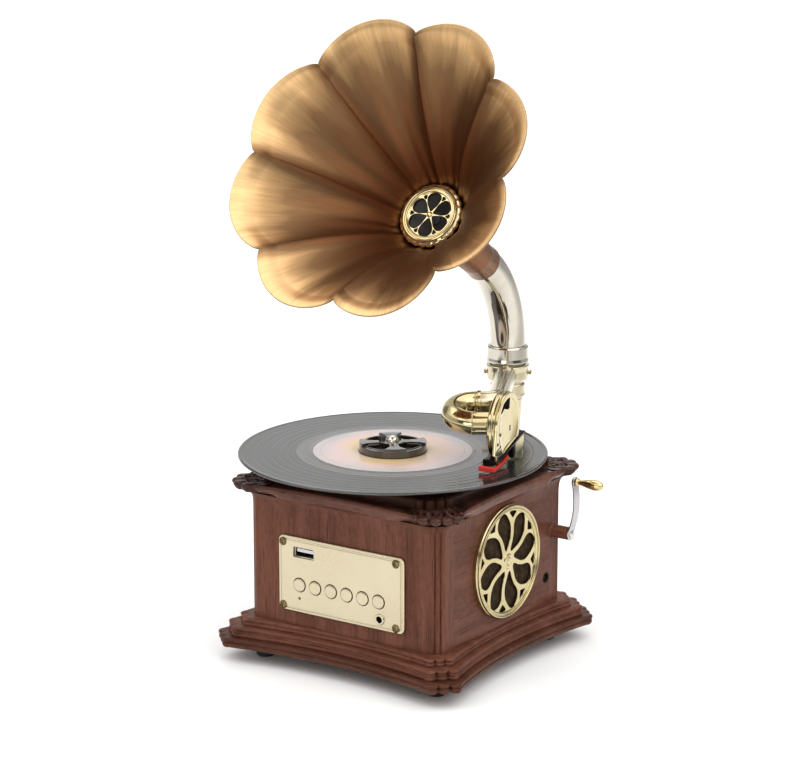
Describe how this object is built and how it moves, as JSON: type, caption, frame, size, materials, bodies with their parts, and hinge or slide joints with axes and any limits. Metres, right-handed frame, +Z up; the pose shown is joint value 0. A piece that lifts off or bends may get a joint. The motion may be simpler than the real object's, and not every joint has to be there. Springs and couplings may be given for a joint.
{
  "type": "record player",
  "caption": "Table record player: square wooden cabinet on a stepped plinth, single record on a spindle, curved tonearm, side crank and a flower horn on a bent column.",
  "frame": {"origin": "middle of the overall footprint, on the surface that the feet stand on", "axes": "+Z up; the control panel faces -Y; the crank and the side grille are on +X"},
  "size_m": [0.1912, 0.2102, 0.3577],
  "materials": {
    "walnut": "satin stained veneer",
    "feet_rubber": "matt",
    "screw_steel": "plain",
    "panel_brass": "satin",
    "gold_plate": "polished",
    "silver_plate": "polished",
    "horn_bronze": "antiqued, brushed",
    "neck_brown": "satin",
    "vinyl": "grooved",
    "label_paper": "matt",
    "adapter_dark": "gloss",
    "cloth_brown": "woven",
    "black_plastic": "satin",
    "red_plastic": "gloss",
    "circuit_green": "satin",
    "battery_wrap": "satin",
    "platter_alu": "turned",
    "mat_rubber": "matt",
    "motor_steel": "plain",
    "speaker_black": "satin"
  },
  "bodies": {
    "root": {"plinth_base": "walnut", "plinth_step": "walnut", "rubber_feet": "feet_rubber", "base_screws": "screw_steel", "front_wall": "walnut", "rear_wall": "walnut", "left_wall": "walnut", "right_wall": "walnut", "corner_posts": "walnut", "top_plate": "walnut", "top_deck": "walnut", "control_panel": "panel_brass", "panel_screws": "panel_brass", "button_board": "circuit_green", "usb_socket": "silver_plate", "headphone_jack": "silver_plate", "speaker_grille": "gold_plate", "grille_cloth": "cloth_brown", "side_speaker": "speaker_black", "dc_socket": "black_plastic", "main_board": "circuit_green", "battery_pack": "battery_wrap", "drive_motor": "motor_steel", "drive_belt": "mat_rubber", "bearing_bush": "gold_plate", "rear_bracket": "gold_plate", "bracket_screws": "screw_steel", "column": "gold_plate", "crank_boss": "walnut"},
    "turntable": {"platter": "platter_alu", "slip_mat": "mat_rubber", "spindle": "silver_plate", "record": "vinyl", "record_label": "label_paper", "center_adapter": "adapter_dark"},
    "pulley": {"motor_pulley": "gold_plate"},
    "arm_swivel": {"swivel_sleeve": "gold_plate", "pivot_screws": "gold_plate"},
    "tonearm": {"arm_collar": "gold_plate", "arm_tube": "gold_plate", "gooseneck": "gold_plate", "sound_box_body": "gold_plate", "sound_box_face": "gold_plate", "cartridge": "black_plastic", "stylus": "red_plastic"},
    "horn": {"horn_ferrule": "silver_plate", "horn_elbow": "silver_plate", "horn_neck": "neck_brown", "horn_bell": "horn_bronze", "horn_ornament": "gold_plate", "horn_speaker": "speaker_black"},
    "crank": {"crank_shaft": "silver_plate", "crank_arm": "silver_plate"},
    "knob": {"crank_knob": "gold_plate"},
    "push_1": {"button_1": "panel_brass"},
    "push_2": {"button_2": "panel_brass"},
    "push_3": {"button_3": "panel_brass"},
    "push_4": {"button_4": "panel_brass"},
    "push_5": {"button_5": "panel_brass"},
    "push_6": {"button_6": "panel_brass"}
  },
  "joints": [
    {"name": "platter_spin", "type": "hinge", "parent": "root", "child": "turntable", "pos_m": [-0.0083, -0.0178, 0.113], "axis": [0, 0, 1], "continuous": true},
    {"name": "pulley_spin", "type": "hinge", "parent": "root", "child": "pulley", "pos_m": [-0.04365, 0.01756, 0.111], "axis": [0, 0, 1], "continuous": true},
    {"name": "tonearm_swing", "type": "hinge", "parent": "root", "child": "arm_swivel", "pos_m": [-0.0014, 0.0924, 0.135], "axis": [0, 0, 1], "range_deg": [-10.5, 13.6]},
    {"name": "tonearm_lift", "type": "hinge", "parent": "arm_swivel", "child": "tonearm", "pos_m": [-0.0014, 0.0924, 0.1402], "axis": [-0.8817, -0.4718, 0], "range_deg": [0, 5]},
    {"name": "horn_swivel", "type": "hinge", "parent": "root", "child": "horn", "pos_m": [-0.0014, 0.0924, 0.15], "axis": [0, 0, 1], "range_deg": [-45, 45]},
    {"name": "crank_turn", "type": "hinge", "parent": "root", "child": "crank", "pos_m": [0.0686, 0.0391, 0.0668], "axis": [1, 0, 0], "continuous": true},
    {"name": "crank_knob_spin", "type": "hinge", "parent": "crank", "child": "knob", "pos_m": [0.0866, 0.0391, 0.0978], "axis": [1, 0, 0], "continuous": true},
    {"name": "button_1_press", "type": "slide", "parent": "root", "child": "push_1", "axis": [0, 1, 0], "range_m": [0, 0.0008], "stiffness_N_per_m": 250},
    {"name": "button_2_press", "type": "slide", "parent": "root", "child": "push_2", "axis": [0, 1, 0], "range_m": [0, 0.0008], "stiffness_N_per_m": 250},
    {"name": "button_3_press", "type": "slide", "parent": "root", "child": "push_3", "axis": [0, 1, 0], "range_m": [0, 0.0008], "stiffness_N_per_m": 250},
    {"name": "button_4_press", "type": "slide", "parent": "root", "child": "push_4", "axis": [0, 1, 0], "range_m": [0, 0.0008], "stiffness_N_per_m": 250},
    {"name": "button_5_press", "type": "slide", "parent": "root", "child": "push_5", "axis": [0, 1, 0], "range_m": [0, 0.0008], "stiffness_N_per_m": 250},
    {"name": "button_6_press", "type": "slide", "parent": "root", "child": "push_6", "axis": [0, 1, 0], "range_m": [0, 0.0008], "stiffness_N_per_m": 250}
  ],
  "couplings": [
    {"joint": "pulley_spin", "follows": "platter_spin", "ratio": 9}
  ]
}
